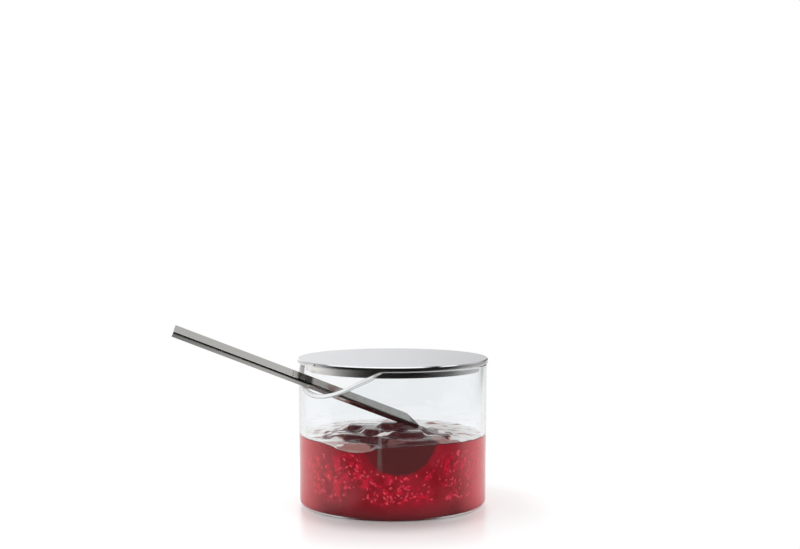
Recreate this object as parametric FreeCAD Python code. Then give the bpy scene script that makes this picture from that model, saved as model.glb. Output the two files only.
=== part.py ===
import FreeCAD, Part
import math
import os

os.makedirs("parts", exist_ok=True)

# Jam pot: a clear glass jar with a scooped rim, jam in it, a steel lid laid on the rim,
# and a steel spoon that stands in the jam and leans in the scoop. Millimetres, +Z up,
# origin on the floor at the middle of the jar's base. -Y is the front.

# Jar
glassRadius = 45.0
glassWall = 2.4
glassBase = 1.7
glassHeight = 69.0
outerCornerRadius = 3.0
innerCornerRadius = 2.2
rimRounding = 1.0

# Scoop in the rim: a bottom arc, two straight flanks and two small arcs up to the rim
scoopAzimuth = -52.5
scoopDepth = 12.3
scoopFlankAngle = 30.0
scoopBottomRadius = 40.0
scoopShoulderRadius = 6.0

# Lid
lidRadius = 45.6
lidThickness = 2.0
lidBevel = 0.5
collarRadius = 41.5
collarWall = 1.2
collarDrop = 3.5
lidRecess = 0.8

# Jam: the level, the heap over the spoon and the hollow at the front left
jamLevel = 34.8
heapHeight = 5.6
heapSpread = 12.0
heapPlace = (3.0, -12.0)
hollowDepth = 3.6
hollowSpread = 9.0
hollowPlace = (-17.0, -39.0)
rippleHeight = 0.35
rippleLength = 17.0
jamPatchReach = 47.0
jamPatchSteps = 20

# Spoon: a folded steel strip that lies on the left flank of the scoop, a tongue that bends
# down from its end, and a deep bowl
handleWidth = 8.0
handleSheet = 1.0
handleFlange = 2.6
handleEdgeRadius = 0.9
handleTurn = 10.0
handleSlope = 21.9
handleRoll = 23.4
handleAtRim = (-41.0, -15.0, 62.8)
handleOutside = 64.7
handleInside = 55.2
handleEndSlant = 41.0
neckWidth = 4.6
neckOverlap = 3.4
neckFoot = (13.2, -4.9, 34.5)
neckFootTilt = 62.0
bowlCentre = (2.8, -15.2, 33.6)
bowlRadius = 15.2
bowlSheet = 1.2
bowlRimTop = 34.4
bowlRimTilt = 10.0
bowlRimTurn = 45.0

origin = FreeCAD.Vector(0, 0, 0)
up = FreeCAD.Vector(0, 0, 1)


def revolved(profile):
    """Solid turned about Z from a closed outline in the XZ plane."""
    return Part.Face(profile).revolve(origin, up, 360)


def line(start, end):
    return Part.LineSegment(FreeCAD.Vector(*start), FreeCAD.Vector(*end)).toShape()


def arcThrough(start, middle, end):
    return Part.Arc(FreeCAD.Vector(*start), FreeCAD.Vector(*middle), FreeCAD.Vector(*end)).toShape()


def cupProfile(radius, bottom, top, corner):
    """Outline of a round-cornered can, from the axis out and back."""
    bend = corner * (1 - math.sqrt(0.5))
    return Part.Wire([
        line((0, 0, bottom), (radius - corner, 0, bottom)),
        arcThrough((radius - corner, 0, bottom), (radius - bend, 0, bottom + bend),
                   (radius, 0, bottom + corner)),
        line((radius, 0, bottom + corner), (radius, 0, top)),
        line((radius, 0, top), (0, 0, top)),
        line((0, 0, top), (0, 0, bottom)),
    ])


def scoopCutter():
    """Everything above the scoop's curve, as a block that crosses the wall on one side."""
    flank = math.radians(scoopFlankAngle)
    lowest = glassHeight - scoopDepth
    arcEnd = scoopBottomRadius * math.sin(flank)
    arcTop = lowest + scoopBottomRadius * (1 - math.cos(flank))
    shoulderRun = scoopShoulderRadius * math.sin(flank)
    shoulderDrop = scoopShoulderRadius * (1 - math.cos(flank))
    shoulderFoot = glassHeight - shoulderDrop
    flankEnd = arcEnd + (shoulderFoot - arcTop) / math.tan(flank)
    halfWidth = flankEnd + shoulderRun
    halfFlank = flank / 2
    shoulderMid = (halfWidth - scoopShoulderRadius * math.sin(halfFlank),
                   glassHeight - scoopShoulderRadius * (1 - math.cos(halfFlank)))
    above = glassHeight + scoopDepth

    def side(sign):
        return [
            line((sign * arcEnd, 0, arcTop), (sign * flankEnd, 0, shoulderFoot)),
            arcThrough((sign * flankEnd, 0, shoulderFoot), (sign * shoulderMid[0], 0, shoulderMid[1]),
                       (sign * halfWidth, 0, glassHeight)),
            line((sign * halfWidth, 0, glassHeight), (sign * halfWidth, 0, above)),
        ]

    edges = [arcThrough((-arcEnd, 0, arcTop), (0, 0, lowest), (arcEnd, 0, arcTop))]
    edges += side(1)
    edges.append(line((halfWidth, 0, above), (-halfWidth, 0, above)))
    edges += side(-1)
    face = Part.Face(Part.Wire(Part.__sortEdges__(edges)))
    block = face.extrude(FreeCAD.Vector(0, -2 * glassRadius, 0))
    block.rotate(origin, up, scoopAzimuth)
    return block


def makeJar():
    outside = revolved(cupProfile(glassRadius, 0, glassHeight, outerCornerRadius))
    inside = revolved(cupProfile(glassRadius - glassWall, glassBase, glassHeight + glassWall,
                                 innerCornerRadius))
    cup = outside.cut(inside).cut(scoopCutter())
    lowestRim = glassHeight - scoopDepth - rimRounding
    rimEdges = [edge for edge in cup.Edges if edge.BoundBox.ZMin > lowestRim
                and edge.BoundBox.DiagonalLength > 2 * glassWall]
    return cup.makeFillet(rimRounding, rimEdges)


def makeLid():
    bottom = glassHeight
    top = bottom + lidThickness
    ringBottom = bottom - collarDrop
    ceiling = bottom + lidRecess
    innerRadius = collarRadius - collarWall
    outline = [(0, 0, ceiling), (innerRadius, 0, ceiling), (innerRadius, 0, ringBottom),
               (collarRadius, 0, ringBottom), (collarRadius, 0, bottom), (lidRadius, 0, bottom),
               (lidRadius, 0, top - lidBevel), (lidRadius - lidBevel, 0, top), (0, 0, top)]
    closed = outline + outline[:1]
    return revolved(Part.makePolygon([FreeCAD.Vector(*point) for point in closed]))


def handleFrame():
    """Direction from the free end to the bowl, then across the strip, then out of its face."""
    turn = math.radians(handleTurn)
    slope = math.radians(handleSlope)
    along = FreeCAD.Vector(math.cos(slope) * math.cos(turn), math.cos(slope) * math.sin(turn),
                           -math.sin(slope))
    level = FreeCAD.Vector(-math.sin(turn), math.cos(turn), 0)
    normal = along.cross(level)
    roll = FreeCAD.Rotation(along, handleRoll)
    return along, roll.multVec(level), roll.multVec(normal)


def endCutter():
    """Takes off all beyond the strip's slanting end, which is shortest on its far side."""
    along, across, out = handleFrame()
    end = FreeCAD.Vector(*handleAtRim) + along * handleInside
    slantRun = handleWidth * math.tan(math.radians(handleEndSlant))
    beyond = along * (4 * handleWidth)
    farSide = end + across * handleWidth - along * slantRun
    nearSide = end - across * handleWidth + along * slantRun
    corners = (farSide, nearSide, nearSide + beyond, farSide + beyond)
    outline = [corner - out * handleWidth for corner in corners]
    return Part.Face(Part.makePolygon(outline + outline[:1])).extrude(out * (2 * handleWidth))


def makeHandle():
    along, across, out = handleFrame()
    half = handleWidth / 2
    inner = half - handleSheet
    start = FreeCAD.Vector(*handleAtRim) - along * handleOutside

    def corner(sideways, upward):
        return start + across * sideways + out * upward

    section = [corner(-half, 0), corner(half, 0), corner(half, -handleFlange),
               corner(inner, -handleFlange), corner(inner, -handleSheet),
               corner(-inner, -handleSheet), corner(-inner, -handleFlange),
               corner(-half, -handleFlange)]
    strip = Part.Face(Part.makePolygon(section + section[:1])).extrude(
        along * (handleOutside + handleInside + handleWidth))
    folds = [edge for edge in strip.Edges if edge.Length > handleOutside
             and abs((edge.CenterOfMass - start).dot(out)) < handleSheet / 2]
    return strip.makeFillet(handleEdgeRadius, folds).cut(endCutter())


def bowlBody(radius):
    centre = FreeCAD.Vector(*bowlCentre)
    ball = Part.makeSphere(radius, centre)
    tube = Part.makeCylinder(radius, bowlRadius, centre)
    return ball.fuse(tube)


def makeBowl():
    """A deep round bowl whose slanting rim is highest where the handle meets it."""
    shell = bowlBody(bowlRadius).cut(bowlBody(bowlRadius - bowlSheet))
    size = 4 * bowlRadius
    above = Part.makeBox(size, size, size, FreeCAD.Vector(-size / 2, -size / 2, 0))
    above.rotate(origin, FreeCAD.Vector(0, 1, 0), -bowlRimTilt)
    above.rotate(origin, up, bowlRimTurn)
    above.translate(FreeCAD.Vector(bowlCentre[0], bowlCentre[1], bowlRimTop))
    return shell.cut(above)


def makeNeck():
    """A narrow tongue that bends down from the end of the strip to the bowl's rim."""
    along, across, out = handleFrame()
    half = neckWidth / 2
    tip = FreeCAD.Vector(*handleAtRim) + along * (handleInside - neckOverlap)
    foot = FreeCAD.Vector(*neckFoot)
    footOut = FreeCAD.Rotation(across, neckFootTilt).multVec(out)

    def outline(centre, outward):
        corners = [centre - across * half, centre + across * half,
                   centre + across * half - outward * handleSheet,
                   centre - across * half - outward * handleSheet]
        return Part.makePolygon(corners + corners[:1])

    return Part.makeLoft([outline(tip, out), outline(foot, footOut)], True, True)


def makeSpoon():
    return makeHandle().fuse([makeNeck(), makeBowl()]).removeSplitter()


def jamHeight(x, y):
    heap = math.hypot(x - heapPlace[0], y - heapPlace[1]) / heapSpread
    hollow = math.hypot(x - hollowPlace[0], y - hollowPlace[1]) / hollowSpread
    ripple = math.sin(x / rippleLength * math.pi) * math.cos(y / rippleLength * math.pi)
    return (jamLevel + heapHeight * math.exp(-heap * heap / 2)
            - hollowDepth * math.exp(-hollow * hollow / 2) + rippleHeight * ripple)


def makeJam(spoon):
    body = revolved(cupProfile(glassRadius - glassWall, glassBase, glassHeight - scoopDepth,
                               innerCornerRadius))
    places = [jamPatchReach * (2 * i / jamPatchSteps - 1) for i in range(jamPatchSteps + 1)]
    rows = [[FreeCAD.Vector(x, y, jamHeight(x, y)) for x in places] for y in places]
    surface = Part.BSplineSurface()
    surface.interpolate(rows)
    above = surface.toShape().extrude(up * glassHeight)
    return body.cut(above).cut(spoon)


def export(name, shape):
    solids = shape.Solids
    biggest = max(solids, key=lambda solid: solid.Volume)
    print(name, "solids", len(solids), "valid", shape.isValid(), "volume", round(shape.Volume))
    biggest.exportStep("parts/" + name + ".step")


spoon = makeSpoon()
export("jar", makeJar())
export("lid", makeLid())
export("spoon", spoon)
export("jam", makeJam(spoon))
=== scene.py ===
import math
import bpy
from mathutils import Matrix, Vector, noise


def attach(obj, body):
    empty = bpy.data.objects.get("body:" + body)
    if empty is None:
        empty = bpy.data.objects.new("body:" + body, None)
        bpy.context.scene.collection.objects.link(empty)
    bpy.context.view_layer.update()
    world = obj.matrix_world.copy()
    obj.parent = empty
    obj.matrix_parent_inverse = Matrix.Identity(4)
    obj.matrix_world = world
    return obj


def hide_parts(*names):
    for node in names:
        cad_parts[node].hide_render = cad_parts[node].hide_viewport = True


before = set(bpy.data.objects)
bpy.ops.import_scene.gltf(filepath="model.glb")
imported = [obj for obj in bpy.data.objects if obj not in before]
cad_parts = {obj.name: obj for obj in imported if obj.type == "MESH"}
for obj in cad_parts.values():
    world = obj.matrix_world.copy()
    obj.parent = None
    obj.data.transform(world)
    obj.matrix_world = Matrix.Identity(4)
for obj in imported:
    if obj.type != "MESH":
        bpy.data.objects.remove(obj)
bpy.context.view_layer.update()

scene = bpy.context.scene
mm = 0.001
print("frame loaded")


# Shader maths: a socket that can be added, multiplied and so on
class Value:
    def __init__(self, tree, socket):
        self.tree = tree
        self.socket = socket

    def maths(self, operation, *others):
        inputs = {place: other for place, other in enumerate((self, *others))}
        return self.tree.node("ShaderNodeMath", {"operation": operation}, inputs)

    def __add__(self, other):
        return self.maths("ADD", other)

    def __sub__(self, other):
        return self.maths("SUBTRACT", other)

    def __rsub__(self, other):
        return self.tree.node("ShaderNodeMath", {"operation": "SUBTRACT"}, {0: other, 1: self})

    def __mul__(self, other):
        return self.maths("MULTIPLY", other)

    def __truediv__(self, other):
        return self.maths("DIVIDE", other)

    def __pow__(self, other):
        return self.maths("POWER", other)

    def __gt__(self, other):
        return self.maths("GREATER_THAN", other)

    def __lt__(self, other):
        return self.maths("LESS_THAN", other)

    __radd__ = __add__
    __rmul__ = __mul__

    def largest(self, other):
        return self.maths("MAXIMUM", other)

    def smallest(self, other):
        return self.maths("MINIMUM", other)


class Tree:
    def __init__(self, nodeTree):
        self.nodes = nodeTree.nodes
        self.links = nodeTree.links
        self.nodes.clear()

    # One node: its settings first, then its sockets by name or number; out picks the output
    def node(self, kind, settings=None, inputs=None, out=0):
        made = self.nodes.new(kind)
        for name, value in (settings or {}).items():
            if name == "stops":
                self.fillRamp(made.color_ramp, value)
            else:
                setattr(made, name, value)
        for name, value in (inputs or {}).items():
            if isinstance(value, Value):
                self.links.new(value.socket, made.inputs[name])
            else:
                made.inputs[name].default_value = value
        return Value(self, made.outputs[out]) if len(made.outputs) else made

    def fillRamp(self, ramp, stops):
        while len(ramp.elements) < len(stops):
            ramp.elements.new(0.5)
        for element, (place, colour) in zip(ramp.elements, stops):
            element.position = place
            element.color = (*colour, 1) if isinstance(colour, tuple) else (colour,) * 3 + (1,)

    def blend(self, factor, first, second):
        # the colour sockets of a Mix node are numbers 6 and 7, its colour result number 2
        return self.node("ShaderNodeMix", {"data_type": "RGBA"}, {0: factor, 6: first, 7: second}, 2)

    def ramp(self, factor, stops):
        return self.node("ShaderNodeValToRGB", {"stops": stops}, {0: factor})

    # 0 below low, 1 above high, smooth between
    def step(self, value, low, high):
        return self.node("ShaderNodeMapRange", {"interpolation_type": "SMOOTHSTEP"},
                         {0: value, 1: low, 2: high, 3: 0.0, 4: 1.0})

    def noise(self, vector, scale, detail=2.0, rough=0.5, stretch=None):
        if stretch:
            vector = self.node("ShaderNodeMapping", None, {"Vector": vector, "Scale": stretch})
        return self.node("ShaderNodeTexNoise", None,
                         {"Vector": vector, "Scale": scale, "Detail": detail, "Roughness": rough})

    def principled(self, inputs):
        return self.node("ShaderNodeBsdfPrincipled", None, inputs)

    def mixed(self, factor, first, second):
        return self.node("ShaderNodeMixShader", None, {0: factor, 1: first, 2: second})

    def glow(self, strength):
        return self.node("ShaderNodeEmission", None, {"Color": white, "Strength": strength})

    def added(self, first, second):
        return self.node("ShaderNodeAddShader", None, {0: first, 1: second})

    def place(self):
        return self.node("ShaderNodeTexCoord", out=3)

    def attribute(self, name):
        return self.node("ShaderNodeAttribute", {"attribute_name": name}, out=2)

    def axes(self, vector):
        made = self.node("ShaderNodeSeparateXYZ", None, {0: vector}).socket.node
        return [Value(self, socket) for socket in made.outputs]


def linear(red, green, blue):
    parts = [value / 255 for value in (red, green, blue)]
    return tuple(part / 12.92 if part <= 0.04045 else ((part + 0.055) / 1.055) ** 2.4 for part in parts)


def colour(*parts):
    return (*linear(*parts), 1.0)


def grey(tone):
    return (tone, tone, tone, 1.0)


white = grey(1.0)


def newMaterial(name):
    made = bpy.data.materials.new(name)
    made.use_nodes = True
    return made, Tree(made.node_tree)


def finishMaterial(tree, shader):
    tree.node("ShaderNodeOutputMaterial", None, {"Surface": shader})


def newObject(name, data):
    made = bpy.data.objects.new(name, data)
    scene.collection.objects.link(made)
    return made


def newPiece(name, mesh):
    piece = newObject(name, mesh)
    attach(piece, "root")
    return piece


# A smooth mesh with one number at each point, which the material reads by its name
def shadedMesh(name, points, faces, material, shadeName, shades):
    mesh = bpy.data.meshes.new(name)
    mesh.from_pydata(points, [], faces)
    mesh.shade_smooth()
    mesh.attributes.new(shadeName, "FLOAT", "POINT").data.foreach_set("value", shades)
    mesh.materials.append(material)
    return mesh


# Quads between rings of points, with the first and last ring closed onto a pole
def turnedFaces(ringCount, around):
    faces = []
    for ring in range(ringCount - 1):
        for step in range(around):
            here, there = ring * around + step, ring * around + (step + 1) % around
            faces.append((here, there, there + around, here + around))
    first, last = ringCount * around, ringCount * around + 1
    for step in range(around):
        after = (step + 1) % around
        faces.append((first, after, step))
        faces.append((last, (ringCount - 1) * around + step, (ringCount - 1) * around + after))
    return faces


# The jar: sizes in millimetres, angles in degrees from the front, to the right. The rim's painted
# highlight fades down the wall by rimGlintFade, first under the lid and then in the scoop, and covers
# rimGlintShare of the rounding; a painted glint on the foot lies between two heights, most at the sides
jarSizes = {
    "radius": 45.0,
    "wall": 2.4,
    "base": 1.7,
    "height": 69.0,
    "footRound": 3.0,
    "innerRound": 2.2,
    "rimRound": 1.15,
    "rimGlintFade": (0.15, 1.2),
    "rimGlintFadeOver": 2.0,
    "rimGlintShare": 0.45,
    "footGlint": (0.3, 1.3),
    "footGlintFrom": (0.2, 0.7),
    "scoopAt": -52.5,
    "scoopDepth": 12.3,
    "scoopFlank": 30.0,
    "scoopRadius": 40.0,
    "scoopShoulder": 6.0,
    "around": 288,
    "flatRings": 8,
    "cornerRings": 10,
    "wallRings": 14,
    "rimRings": 8,
}


# How far the scoop lies under the rim, so far across from its middle
def scoopDrop(across):
    sizes = jarSizes
    flank = math.radians(sizes["scoopFlank"])
    bottom, shoulder = sizes["scoopRadius"], sizes["scoopShoulder"]
    arcEnd = bottom * math.sin(flank)
    arcDrop = sizes["scoopDepth"] - bottom * (1 - math.cos(flank))
    shoulderDrop = shoulder * (1 - math.cos(flank))
    flankEnd = arcEnd + (arcDrop - shoulderDrop) / math.tan(flank)
    halfWidth = flankEnd + shoulder * math.sin(flank)
    if across <= arcEnd:
        return sizes["scoopDepth"] - bottom + math.sqrt(bottom ** 2 - across ** 2)
    if across <= flankEnd:
        return arcDrop - (across - arcEnd) * math.tan(flank)
    if across < halfWidth:
        return shoulder - math.sqrt(shoulder ** 2 - (halfWidth - across) ** 2)
    return 0.0


def rimHeight(turn, radius):
    offset = turn - math.radians(jarSizes["scoopAt"])
    if math.cos(offset) <= 0:
        return jarSizes["height"]
    return jarSizes["height"] - scoopDrop(abs(radius * math.sin(offset)))


def arcPoints(centre, radius, start, end, steps):
    angles = [math.radians(start + (end - start) * i / steps) for i in range(steps + 1)]
    return [(centre[0] + radius * math.cos(a), centre[1] + radius * math.sin(a)) for a in angles]


def spread(start, end, steps):
    return [start + (end - start) * i / steps for i in range(1, steps)]


def smooth(value, low, high):
    share = min(1.0, max(0.0, (value - low) / (high - low)))
    return share * share * (3 - 2 * share)


# The wall's outline at one angle, from under the base, over the rim and down to the inner base;
# the third number says how much painted highlight the glass gets: 1 on the rim, up to 1 along the foot
def jarOutline(turn):
    sizes = jarSizes
    outer, inner = sizes["radius"], sizes["radius"] - sizes["wall"]
    foot, well, lip = sizes["footRound"], sizes["innerRound"], sizes["rimRound"]
    # painted highlight: under the lid only on the top of the rim, in the scoop on a little of the wall as
    # well
    inScoop = min(1.0, (sizes["height"] - rimHeight(turn, outer)) / sizes["rimGlintFadeOver"])
    fade = sizes["rimGlintFade"][0] + inScoop * (sizes["rimGlintFade"][1] - sizes["rimGlintFade"][0])
    outerTop = rimHeight(turn, outer) - lip - fade
    innerTop = rimHeight(turn, inner) - lip - fade
    flatRings, cornerRings, wallRings = sizes["flatRings"], sizes["cornerRings"], sizes["wallRings"]
    rimRings, base = sizes["rimRings"], sizes["base"]
    outside = [(radius, 0.0) for radius in spread(0, outer - foot, flatRings)]
    footArc = arcPoints((outer - foot, foot), foot, -90, 0, cornerRings)
    glint = smooth(abs(math.sin(turn)), *sizes["footGlintFrom"])
    glintLow, glintHigh = sizes["footGlint"]
    paintedGlintFrom = -sizes["rimGlintShare"] * lip
    wall = [(outer, height) for height in spread(foot, outerTop, wallRings)] + [(outer, outerTop)]
    rim = arcPoints((outer - lip, -lip), lip, 0, 90, rimRings)
    rim += arcPoints((inner + lip, -lip), lip, 90, 180, rimRings)
    inside = [(inner, innerTop)] + [(inner, height) for height in spread(innerTop, base + well, wallRings)]
    inside += arcPoints((inner - well, base + well), well, 0, -90, cornerRings)
    inside += [(radius, base) for radius in spread(inner - well, 0, flatRings)]
    return ([(radius, height, 0.0) for radius, height in outside]
            + [(radius, height, glint if glintLow < height < glintHigh else 0.0)
               for radius, height in footArc]
            + [(radius, height, 0.0) for radius, height in wall]
            + [(radius, rimHeight(turn, radius) + height, 1.0 if height > paintedGlintFrom else inScoop)
               for radius, height in rim]
            + [(radius, height, 0.0) for radius, height in inside])


def makeJar(material):
    around = jarSizes["around"]
    turns = [2 * math.pi * step / around for step in range(around)]
    outlines = [jarOutline(math.remainder(turn, 2 * math.pi)) for turn in turns]
    # each point's painted highlight, which the glass reads as the "rim" attribute
    points, paintedGlints = [], []
    for ring in range(len(outlines[0])):
        for turn, outline in zip(turns, outlines):
            radius, height, rim = outline[ring]
            points.append((radius * math.sin(turn) * mm, -radius * math.cos(turn) * mm, height * mm))
            paintedGlints.append(rim)
    points += [(0, 0, 0), (0, 0, jarSizes["base"] * mm)]
    faces = turnedFaces(len(outlines[0]), around)
    mesh = shadedMesh("jarGlass", points, faces, material, "rim", paintedGlints + [0.0, 0.0])
    piece = newPiece("jarGlass", mesh)
    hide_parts("jar")
    return piece


# The jam: its side reaches a little way into the glass, so that no air shows between. Folds and
# ragged are size, length and seed; mound is place and half sizes; moundFront is left and right
jamSizes = {
    "intoGlass": 0.25,
    "level": 34.8,
    "heap": 5.6,
    "heapAt": (3.0, -12.0),
    "heapSpread": 12.0,
    "hollow": 3.6,
    "hollowAt": (-17.0, -39.0),
    "hollowSpread": 9.0,
    "shoulder": 3.2,
    "shoulderAt": (-18.0, 1.0),
    "shoulderSpread": 8.0,
    "folds": ((1.0, 20.0, 3.1), (0.3, 8.0, 8.7)),
    "terrace": 2.4,
    "terraceAt": 36.4,
    "terraceShare": 0.8,
    "mound": (-1.0, -14.0, 28.0, 25.0),
    "moundFront": (-16.0, 28.0),
    "ragged": ((0.28, 9.0, 5.0), (0.22, 3.5, 1.0)),
    # patches of painted reflection; the thin ones with paleness 1 are painted highlights
    "shinePatches": ((-17, -36, 8, 8, 0.5), (-27, -27, 7, 4, 0.6), (24, -30, 8, 7, 0.36), (6, -34, 10, 3, 0.22),
                (-19, -14, 10, 0.9, 1.0), (-11, -3, 7, 1.0, 1.0), (-3, -23, 6, 0.8, 1.0),
                (14, -21, 8, 0.9, 1.0), (24, -14, 4, 0.9, 0.9), (-28, -20, 6, 1.0, 1.0)),
    "climb": 0.15,
    "climbReach": 0.8,
    "around": 288,
    "floorRings": 6,
    "cornerRings": 8,
    "sideRings": 40,
    "topRings": 110,
}


def bump(x, y, height, centre, width):
    away = math.hypot(x - centre[0], y - centre[1]) / width
    return height * math.exp(-away * away / 2)


def unevenness(x, y, length, seed):
    return noise.noise(Vector((x / length, y / length, seed)))


def jamHeight(x, y):
    sizes = jamSizes
    height = sizes["level"] + bump(x, y, sizes["heap"], sizes["heapAt"], sizes["heapSpread"])
    height -= bump(x, y, sizes["hollow"], sizes["hollowAt"], sizes["hollowSpread"])
    height += bump(x, y, sizes["shoulder"], sizes["shoulderAt"], sizes["shoulderSpread"])
    # round folds with creases between them, and flat shelves between the slopes, all calm by the glass
    calm = 1 - (math.hypot(x, y) / jarSizes["radius"]) ** 8
    for size, length, seed in sizes["folds"]:
        height += calm * size * (2 * abs(unevenness(x, y, length, seed)) - 0.35)
    shelf = (height - sizes["terraceAt"]) / sizes["terrace"]
    part = shelf - math.floor(shelf)
    return height + calm * sizes["terraceShare"] * sizes["terrace"] * (smooth(part, 0.25, 0.75) - part)


# How much painted reflection the top gets, its paleness: 0 on the ragged dark mound, which reaches
# the glass in front, 1 round it, and what each patch says (place, half sizes, paleness) within it
def jamPaintedShine(x, y):
    sizes = jamSizes
    ragged = sum(size * unevenness(x, y, length, seed) for size, length, seed in sizes["ragged"])
    moundX, moundY, wide, deep = sizes["mound"]
    left, right = sizes["moundFront"]
    away = math.hypot((x - moundX) / wide, (y - moundY) / deep)
    if y < moundY:
        away = min(away, abs(2 * (x - left) / (right - left) - 1))
    paintedShine = smooth(away + ragged, 0.9, 1.0)
    # darker streaks break the painted reflection
    shineStreaks = min(0, noise.noise(Vector((x / 8, y / 3, 4))))
    paintedShine = paintedShine * (0.86 + 0.5 * shineStreaks) + 0.12 * (1 - paintedShine) * (1 + ragged)
    for patchX, patchY, halfWide, halfDeep, value in sizes["shinePatches"]:
        near = math.hypot((x - patchX) / halfWide, (y - patchY) / halfDeep) + 1.2 * ragged
        paintedShine += (value - paintedShine) * (1 - smooth(near, 0.85, 1.0))
    return paintedShine


def makeJam(material):
    sizes = jamSizes
    around = sizes["around"]
    skin = jarSizes["radius"] - jarSizes["wall"] + sizes["intoGlass"]
    floorHeight = jarSizes["base"] - sizes["intoGlass"]
    corner = jarSizes["innerRound"]
    low = floorHeight + corner
    floorRadii = spread(0, skin - corner, sizes["floorRings"])
    rings = [(radius, lambda x, y: floorHeight, 0.0) for radius in floorRadii]
    bend = arcPoints((skin - corner, low), corner, -90, 0, sizes["cornerRings"])
    rings += [(radius, lambda x, y, height=height: height, 0.0) for radius, height in bend]
    rings += [(skin, lambda x, y, share=share: low + (jamHeight(x, y) + sizes["climb"] - low) * share, 0.0)
              for share in spread(0, 1, sizes["sideRings"])]
    for ring in range(sizes["topRings"]):
        radius = skin * (1 - ring / sizes["topRings"])
        climb = sizes["climb"] * math.exp((radius - skin) / sizes["climbReach"])
        rings.append((radius, lambda x, y, climb=climb: jamHeight(x, y) + climb, 1.0))
    # the "top" attribute: 0 on the side, and on the top 1 plus the painted reflection
    points, topWithShine = [], []
    for radius, heightAt, top in rings:
        for step in range(around):
            turn = 2 * math.pi * step / around
            x, y = radius * math.sin(turn), -radius * math.cos(turn)
            points.append((x * mm, y * mm, heightAt(x, y) * mm))
            topWithShine.append(top + jamPaintedShine(x, y) if top else 0.0)
    points += [(0, 0, floorHeight * mm), (0, 0, jamHeight(0, 0) * mm)]
    topWithShine += [0.0, 1.0 + jamPaintedShine(0, 0)]
    mesh = shadedMesh("jamBody", points, turnedFaces(len(rings), around), material, "top", topWithShine)
    piece = newPiece("jamBody", mesh)
    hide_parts("jam")
    return piece


def makeGlassMaterial():
    made, tree = newMaterial("clearGlass")
    # the "rim" attribute holds how much painted highlight each point of the glass gets
    rim = tree.attribute("rim")
    glass = tree.principled({"Base Color": colour(252, 254, 255), "Roughness": 0.0, "IOR": 1.5,
                             "Transmission Weight": 1.0, "Sheen Weight": 0.2, "Sheen Roughness": 0.25})
    # painted highlight: the rim and the foot's glint are painted white between thin grey lines
    paintedHighlightColour = tree.blend(tree.step(rim, 0.45, 0.8), colour(150, 152, 154), colour(250, 251, 252))
    paintedHighlightShader = tree.principled({"Base Color": paintedHighlightColour, "Roughness": 0.15, "IOR": 1.5})
    solid = tree.mixed(tree.step(rim, 0.1, 0.6) * 0.8, glass, paintedHighlightShader)
    # soft light and lamps reach the jam and the spoon straight through the wall
    through = tree.node("ShaderNodeBsdfTransparent", None, {"Color": (0.93, 0.95, 0.95, 1)})
    for rays in ("Is Diffuse Ray", "Is Shadow Ray"):
        solid = tree.mixed(tree.node("ShaderNodeLightPath", out=rays), solid, through)
    finishMaterial(tree, solid)
    return made


# The lid: a satin top inside a polished bevel, and a duller underside with a painted highlight that makes it
# paler at the sides
lidLook = {
    "topFrom": 70.85,
    "topFull": 70.97,
    "underFull": 69.2,
    "underTo": 69.9,
    "paintedHighlightFrom": 8.0,
    "paintedHighlightFull": 22.0,
    "satin": ((204, 205, 207), (240, 241, 245)),
    # the underside's own tone, and the colour of its painted highlight at the sides
    "under": ((150, 146, 141), (252, 251, 249)),
}


def makeSatinSteel():
    made, tree = newMaterial("satinSteel")
    look = lidLook
    place = tree.place()
    x, y, z = tree.axes(place)
    top = tree.step(z, look["topFrom"] * mm, look["topFull"] * mm)
    under = 1 - tree.step(z, look["underFull"] * mm, look["underTo"] * mm)
    # painted highlight: the underside is painted paler towards the sides
    aside = tree.step(x.maths("ABSOLUTE"), look["paintedHighlightFrom"] * mm, look["paintedHighlightFull"] * mm)
    grain = tree.noise(place, 900, 3, 0.6)
    cloud = tree.noise(place, 30, 2)
    rough = 0.06 + top * (0.26 + 0.06 * grain + 0.04 * cloud) + under * 0.34
    dull, paler = [colour(*tone) for tone in look["satin"]]
    tint = tree.blend(top * (0.3 + 0.4 * grain), dull, paler)
    dull, paler = [colour(*tone) for tone in look["under"]]
    tint = tree.blend(under, tint, tree.blend(aside, dull, paler))
    bumped = tree.node("ShaderNodeBump", None, {"Strength": 0.06, "Distance": 0.00004, "Height": grain * top})
    finishMaterial(tree, tree.principled({"Base Color": tint, "Metallic": 1.0, "Roughness": rough,
                                          "Normal": bumped}))
    return made


# The spoon: polished steel, with a painted dark reflection, almost black, where its broad face passes under
# the edge of the lid
spoonLook = {
    "steel": ((198, 197, 192), (212, 211, 207)),
    # the painted reflection: its colour, how much of it shows, and where it lies
    "dark": (22, 19, 17),
    "paintedReflectionShare": 0.92,
    "paintedReflectionFrom": (-45.0, -43.8),
    "paintedReflectionTo": (-38.4, -36.8),
    "paintedReflectionAbove": (-2.1, -1.5),
    "handleAt": (-41.0, 62.8),
    "handleFall": 0.408,
}


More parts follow.
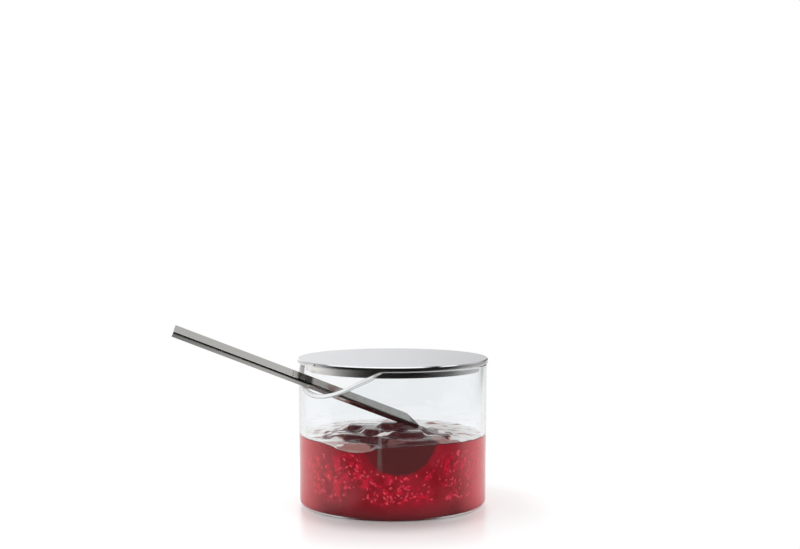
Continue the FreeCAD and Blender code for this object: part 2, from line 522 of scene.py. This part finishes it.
def makePolishedSteel():
    made, tree = newMaterial("polishedSteel")
    look = spoonLook
    place = tree.place()
    smear = tree.noise(place, 60, 3, 0.6)
    scratches = tree.noise(place, 220, 4, 0.7, (0.12, 1.0, 1.0))
    rough = 0.05 + 0.05 * smear + 0.06 * tree.step(scratches, 0.55, 0.75)
    tint = tree.blend(smear, *[colour(*tone) for tone in look["steel"]])
    # painted reflection: the broad face is painted almost black under the lid's edge
    x, y, z = tree.axes(place)
    handleX, handleZ = look["handleAt"]
    above = z + (x - handleX * mm) * look["handleFall"] - handleZ * mm
    starts, ends, upward = [[limit * mm for limit in look[name]]
                            for name in ("paintedReflectionFrom", "paintedReflectionTo", "paintedReflectionAbove")]
    dark = tree.step(x, *starts) * (1 - tree.step(x, *ends)) * tree.step(above, *upward)
    tint = tree.blend(dark * look["paintedReflectionShare"], tint, colour(*look["dark"]))
    finishMaterial(tree, tree.principled({"Base Color": tint, "Metallic": 1.0, "Roughness": rough}))
    return made


# The jam's colours, the heights between which things fade in and out, and where painted shade shows
# the spoon's bowl dark through it
jamLook = {
    "deep": (140, 26, 37),
    "middle": (158, 38, 50),
    "foot": (88, 26, 30),
    "pulp": (214, 34, 60),
    "thread": (232, 78, 98),
    "edge": (236, 84, 92),
    # the colour of the painted shade in front of the bowl
    "bowl": (86, 42, 42),
    "beltFrom": (5.0, 12.0),
    "beltTo": (25.0, 33.0),
    "footShadeTo": (2.0, 10.0),
    "edgeFrom": (28.0, 42.0),
    "bowlAt": (2.8, 38.2),
    "bowlRadius": 17.2,
    "bowlInFront": 20.0,
    "topDark": (78, 34, 37),
    # colours of the top's painted reflection, half and full
    "topPaintedHalfShine": (170, 120, 114),
    "topPaintedShine": (246, 242, 240),
}


# How far a point of the jam is across from the bowl's middle, and away from it, in millimetres
def fromBowl(x, z):
    bowlX, bowlZ = jamLook["bowlAt"]
    across, upDown = x / mm - bowlX, z / mm - bowlZ
    return across, (across * across + upDown * upDown) ** 0.5


def makeJamMaterial():
    made, tree = newMaterial("redJam")
    look = jamLook
    place = tree.place()
    x, y, z = tree.axes(place)
    # the side: deep red with brighter pulp in clusters, and painted shade that makes it darker at the foot
    broad = tree.noise(place, 60, 3, 0.6)
    blobs = tree.noise(place, 330, 2, 0.5)
    cells = tree.node("ShaderNodeTexVoronoi", None, {"Vector": place, "Scale": 430.0}).socket.node
    chosen = tree.axes(Value(tree, cells.outputs["Color"]))[0] > 0.45
    spots = (1 - tree.step(Value(tree, cells.outputs["Distance"]), 0.2, 0.42)) * chosen
    beltFrom, beltTo, footShadeTo, edgeFrom = [[limit * mm for limit in look[name]]
                                          for name in ("beltFrom", "beltTo", "footShadeTo", "edgeFrom")]
    belt = tree.step(z, *beltFrom) * (1 - tree.step(z, *beltTo))
    clusters = belt * tree.step(tree.noise(place, 90, 2, 0.5), 0.38, 0.54)
    side = tree.blend(tree.step(broad, 0.35, 0.65), colour(*look["deep"]), colour(*look["middle"]))
    side = tree.blend(clusters * tree.step(blobs, 0.46, 0.62) * 0.8, side, colour(*look["pulp"]))
    side = tree.blend(clusters * spots * 0.6, side, colour(*look["thread"]))
    # painted shade: darker towards the foot
    side = tree.blend((1 - tree.step(z, *footShadeTo)) * 0.5, side, colour(*look["foot"]))
    # painted light: a paler glow towards the sides, as of thin jam against the light
    side = tree.blend(tree.step(x.maths("ABSOLUTE"), *edgeFrom) * 0.75, side, colour(*look["edge"]))
    # painted shade: the jam in front of the spoon's bowl is painted dark, as the bowl showing through
    across, away = fromBowl(x, z)
    bowl = 1 - tree.step(away, look["bowlRadius"] - 1.4, look["bowlRadius"] + 0.8)
    bowl = bowl * (y < -look["bowlInFront"] * mm)
    near = 0.6 + 0.36 * tree.step(across, -11, -9)
    side = tree.blend(bowl * near, side, colour(*look["bowl"]))
    # the top: a dark mound with painted reflections and highlights of wet jam round it, and a weak painted
    # glow
    top = tree.attribute("top")
    fine = tree.noise(place, 300, 3, 0.6) - 0.5
    dark, halfShine, paintedShine = [linear(*look[name]) for name in ("topDark", "topPaintedHalfShine", "topPaintedShine")]
    topWithShine = tree.ramp(top - 1 + fine * 0.3, [(0.14, dark), (0.4, halfShine), (0.6, halfShine), (0.8, paintedShine)])
    sideShader = tree.principled({"Base Color": side, "Roughness": 0.5, "Specular IOR Level": 0.0,
                                  "Subsurface Weight": 0.15, "Subsurface Scale": 1.0,
                                  "Subsurface Radius": (0.003, 0.0006, 0.0006)})
    # painted glow: the top emits a little of its own colour
    topShader = tree.principled({"Base Color": topWithShine, "Roughness": 0.12, "IOR": 1.3,
                                 "Specular IOR Level": 0.3, "Coat Weight": 0.1, "Coat Roughness": 0.03,
                                 "Coat IOR": 1.4, "Emission Color": topWithShine, "Emission Strength": 0.2})
    finishMaterial(tree, tree.mixed(tree.step(top, 0.4, 0.6), sideShader, topShader))
    return made


def makeSeedMaterial():
    made, tree = newMaterial("jamSeed")
    place = tree.place()
    shade = tree.ramp(tree.noise(place, 620, 1),
                      [(0.3, linear(206, 44, 62)), (0.5, linear(222, 64, 80)), (0.7, linear(226, 88, 98))])
    finishMaterial(tree, tree.principled({"Base Color": shade, "Roughness": 0.4, "Specular IOR Level": 0.0}))
    return made


# Geometry Nodes: seeds lie flat in the jam's side, in clusters, with none in front of the bowl
seedSizes = {
    "Seeds per square metre": 200000.0,
    "Length": 0.0021,
    "Sunk": 0.00015,
    "Clusters per metre": 75.0,
    "Lowest": 0.0085,
    "Highest": 0.031,
    "Random seed": 7,
}
# One seed: how it is stretched, its size as a share of Length, and how far it may turn
seedShape = {
    "stretch": (0.52, 1.0, 0.5),
    "scales": (0.55, 1.1),
    "spin": 6.28,
}


def buildScatterTree(material):
    group = bpy.data.node_groups.new("seedScatter", "GeometryNodeTree")
    face = group.interface
    face.new_socket("Geometry", in_out="INPUT", socket_type="NodeSocketGeometry")
    for name, value in seedSizes.items():
        kind = "NodeSocketInt" if isinstance(value, int) else "NodeSocketFloat"
        face.new_socket(name, in_out="INPUT", socket_type=kind)
    face.new_socket("Geometry", in_out="OUTPUT", socket_type="NodeSocketGeometry")
    tree = Tree(group)
    given = tree.nodes.new("NodeGroupInput")
    sockets = [Value(tree, socket) for socket in given.outputs if socket.name]
    skin, density, length, sunk, cluster, lowest, highest, seed = sockets
    where = tree.node("GeometryNodeInputPosition")
    x, y, z = tree.axes(where)
    cloud = tree.noise(where, cluster)
    side = 1 - tree.node("GeometryNodeInputNamedAttribute", {"data_type": "FLOAT"}, {"Name": "top"})
    thick = tree.step(cloud, 0.38, 0.58) * (z > lowest) * (z < highest) * side
    away = fromBowl(x, z)[1]
    clear = (away > jamLook["bowlRadius"] + 1).largest(y > 0)
    scattered = tree.node("GeometryNodeDistributePointsOnFaces", {"distribute_method": "RANDOM"},
                          {"Mesh": skin, "Density": density * thick * clear, "Seed": seed}).socket.node
    dots, outward, upright = [Value(tree, scattered.outputs[name])
                              for name in ("Points", "Normal", "Rotation")]
    inward = tree.node("ShaderNodeVectorMath", {"operation": "SCALE"},
                       {"Vector": outward, "Scale": sunk * -1})
    dots = tree.node("GeometryNodeSetPosition", None, {"Geometry": dots, "Offset": inward})
    ball = tree.node("GeometryNodeMeshIcoSphere", None, {"Radius": 0.5, "Subdivisions": 2})
    stretched = tree.node("GeometryNodeTransform", None, {"Geometry": ball, "Scale": seedShape["stretch"]})
    # a random number's float limits are sockets 2 and 3, its float result is output 1
    spin = tree.node("FunctionNodeRandomValue", {"data_type": "FLOAT"},
                     {2: 0.0, 3: seedShape["spin"], "Seed": seed}, 1)
    spun = tree.node("ShaderNodeCombineXYZ", None, {"Z": spin})
    spun = tree.node("FunctionNodeEulerToRotation", None, {0: spun})
    turn = tree.node("FunctionNodeRotateRotation", {"rotation_space": "LOCAL"},
                     {"Rotation": upright, "Rotate By": spun})
    smallest, largest = seedShape["scales"]
    size = tree.node("FunctionNodeRandomValue", {"data_type": "FLOAT"},
                     {2: smallest, 3: largest, "Seed": seed + 1}, 1)
    strewn = tree.node("GeometryNodeInstanceOnPoints", None,
                       {"Points": dots, "Instance": stretched, "Rotation": turn, "Scale": size * length})
    real = tree.node("GeometryNodeRealizeInstances", None, {"Geometry": strewn})
    rounded = tree.node("GeometryNodeSetShadeSmooth", None, {"Geometry": real})
    painted = tree.node("GeometryNodeSetMaterial", None, {"Geometry": rounded, "Material": material})
    tree.node("NodeGroupOutput", None, {"Geometry": painted})
    return group


def makeSeeds(jam, material):
    source = newObject("seedSource", jam.data.copy())
    group = buildScatterTree(material)
    modifier = source.modifiers.new("scatter", "NODES")
    modifier.node_group = group
    for item in group.interface.items_tree:
        if item.in_out == "INPUT" and item.name in seedSizes:
            modifier[item.identifier] = seedSizes[item.name]
    bpy.context.view_layer.update()
    seen = source.evaluated_get(bpy.context.evaluated_depsgraph_get())
    mesh = bpy.data.meshes.new_from_object(seen)
    bpy.data.objects.remove(source)
    mesh.name = "jamSeeds"
    return newPiece("jamSeeds", mesh)


# Studio, in metres: floor, one soft lamp and a world that is white to look at.
# In room, 0.5 is the horizon behind the jar, 0.75 straight up and 1 the horizon in front
studio = {
    "floorHalf": 0.9,
    "floorFront": -0.7,
    "floorBack": 1.2,
    "floorTone": 0.8,
    "floorShine": 0.37,
    "shineReach": (0.05, 0.12),
    "whiteReach": (0.066, 0.17),
    "stripPlace": 0.0064,
    "stripSlant": 0.279,
    "stripHalf": 0.013,
    "stripGlow": 1.1,
    "ambient": 0.95,
    "dark": 0.02,
    "room": [(0.0, 0.02), (0.02, 0.02), (0.44, 1.0), (0.5, 1.18), (0.55, 1.12), (0.59, 0.8), (0.64, 0.62),
             (0.67, 0.5), (0.685, 1.5), (0.8, 1.8), (0.815, 0.1), (0.87, 0.04), (1.0, 0.02)],
    "lampPlace": (0.0, 0.05, 0.9),
    "lampAim": (0, 0, 0.03),
    "lampSize": 0.7,
    "lampPower": 2.0,
}


# Which way a ray has come: straight or only through glass, or by way of a mirror
def rayKinds(tree):
    path = tree.node("ShaderNodeLightPath").socket.node
    names = ("Is Camera Ray", "Is Transmission Ray", "Diffuse Depth", "Glossy Depth")
    camera, through, matt, mirror = [Value(tree, path.outputs[name]) for name in names]
    direct = matt < 0.5
    return camera.largest(through) * direct * (mirror < 0.5), direct * (mirror > 0.5)


def makeFloor():
    made, tree = newMaterial("paleFloor")
    straight, mirrored = rayKinds(tree)
    x, y, z = tree.axes(tree.place())
    away = (x * x + y * y) ** 0.5
    # in reflections the table ends just in front of the jar, softly so further out
    close = y - 0.05 * tree.step(x, -0.06, -0.03)
    shown = tree.blend(tree.step(away, 0.3, 0.42), tree.step(close, -0.14, -0.04), tree.step(y, -0.34, 0.3))
    shown = tree.axes(shown)[0] * (1 - 0.4 * tree.step(x, 0.25, 0.4))
    tone = tree.blend(mirrored * (1 - shown), grey(studio["floorTone"]), grey(studio["dark"]))
    matt = tree.node("ShaderNodeBsdfDiffuse", None, {"Color": tone})
    gloss = tree.node("ShaderNodeBsdfAnisotropic", None, {"Color": white, "Roughness": 0.26})
    shine = (1 - tree.step(away, *studio["shineReach"])) * studio["floorShine"] * (1 - mirrored)
    near = tree.mixed(shine, matt, gloss)
    # the white comes nearer at the sides than in front, where the jar shows in the table
    reach = away + y.smallest(0.0) * 0.35
    raised = 0.2 * tree.step(reach, 0.032, 0.046) + 0.06 * tree.step(reach, 0.056, 0.085)
    near = tree.added(near, tree.glow(straight * raised))
    # painted highlight: a narrow glowing strip on the floor, seen only in reflections, which only the front
    # of the glass mirrors
    off = (x - studio["stripSlant"] * y - studio["stripPlace"]) / studio["stripHalf"]
    strip = mirrored * (1 - tree.step(off.maths("ABSOLUTE"), 0.3, 1.0)) * (y < 0)
    strip = strip * tree.step(away, 0.15, 0.2) * (1 - tree.step(away, 0.3, 0.36))
    near = tree.added(near, tree.glow(strip * studio["stripGlow"]))
    # far from the jar the floor is the same white as the background
    far = straight * tree.step(reach, *studio["whiteReach"])
    finishMaterial(tree, tree.mixed(far, near, tree.glow(1.0)))
    made.cycles.emission_sampling = "NONE"
    half, front, back = studio["floorHalf"], studio["floorFront"], studio["floorBack"]
    mesh = bpy.data.meshes.new("floor")
    mesh.from_pydata([(-half, front, 0), (half, front, 0), (half, back, 0), (-half, back, 0)], [],
                     [(0, 1, 2, 3)])
    mesh.materials.append(made)
    newObject("floor", mesh)


def makeWorld():
    world = bpy.data.worlds.new("studioWorld")
    world.use_nodes = True
    world.cycles.sampling_method = "NONE"
    scene.world = world
    tree = Tree(world.node_tree)
    straight, mirrored = rayKinds(tree)
    direction = tree.node("ShaderNodeTexCoord", out=0)
    x, y, z = tree.axes(direction)
    height = z.maths("ARCTAN2", y) / (2 * math.pi) + 0.5
    room = tree.ramp(height, studio["room"])
    # dark overhead at the right, and low down brighter at the left
    overhead = tree.step(x, 0.3, 0.45) * tree.step(height, 0.715, 0.73)
    room = tree.blend(overhead, room, grey(studio["dark"]))
    aside = tree.step(x, -0.1, 0.25) * (1 - tree.step(height, 0.54, 0.6))
    room = tree.blend(aside * 0.8, room, grey(0.0))
    light = tree.blend(mirrored, grey(studio["ambient"]), room)
    light = tree.blend(straight, light, white)
    back = tree.node("ShaderNodeBackground", None, {"Color": light, "Strength": 1.0})
    tree.node("ShaderNodeOutputWorld", None, {"Surface": back})


def makeLamp():
    lamp = bpy.data.lights.new("overheadLamp", "AREA")
    lamp.shape = "SQUARE"
    lamp.size = studio["lampSize"]
    lamp.energy = studio["lampPower"]
    made = newObject("overheadLamp", lamp)
    made.location = studio["lampPlace"]
    aim = Vector(studio["lampAim"]) - made.location
    made.rotation_euler = aim.to_track_quat("-Z", "Y").to_euler()
    made.visible_glossy = False


# Camera: a long lens, a little above the lid, tilted down
cameraSetup = {
    "away": 0.62633,
    "height": 0.13374,
    "tilt": 7.773,
    "focalInWidths": 1.6387375,
    "shiftX": 0.0091,
    "shiftY": 0.162,
}


def makeCamera():
    data = bpy.data.cameras.new("camera")
    data.sensor_width = 36.0
    data.lens = data.sensor_width * cameraSetup["focalInWidths"]
    data.shift_x, data.shift_y = cameraSetup["shiftX"], cameraSetup["shiftY"]
    data.clip_start, data.clip_end = 0.01, 20
    made = newObject("camera", data)
    made.location = (0, -cameraSetup["away"], cameraSetup["height"])
    made.rotation_euler = (math.radians(90 - cameraSetup["tilt"]), 0, 0)
    scene.camera = made


def paintNode(name, material):
    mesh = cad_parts[name].data
    mesh.materials.clear()
    mesh.materials.append(material)


jar = makeJar(makeGlassMaterial())
print("jar made", len(jar.data.polygons), "faces")
jam = makeJam(makeJamMaterial())
print("jam made", len(jam.data.polygons), "faces")
seeds = makeSeeds(jam, makeSeedMaterial())
print("seeds made", len(seeds.data.polygons), "faces")
paintNode("lid", makeSatinSteel())
paintNode("spoon", makePolishedSteel())
print("steel painted")
makeFloor()
makeWorld()
makeLamp()
makeCamera()
scene.view_settings.view_transform = "Standard"
print("studio ready")
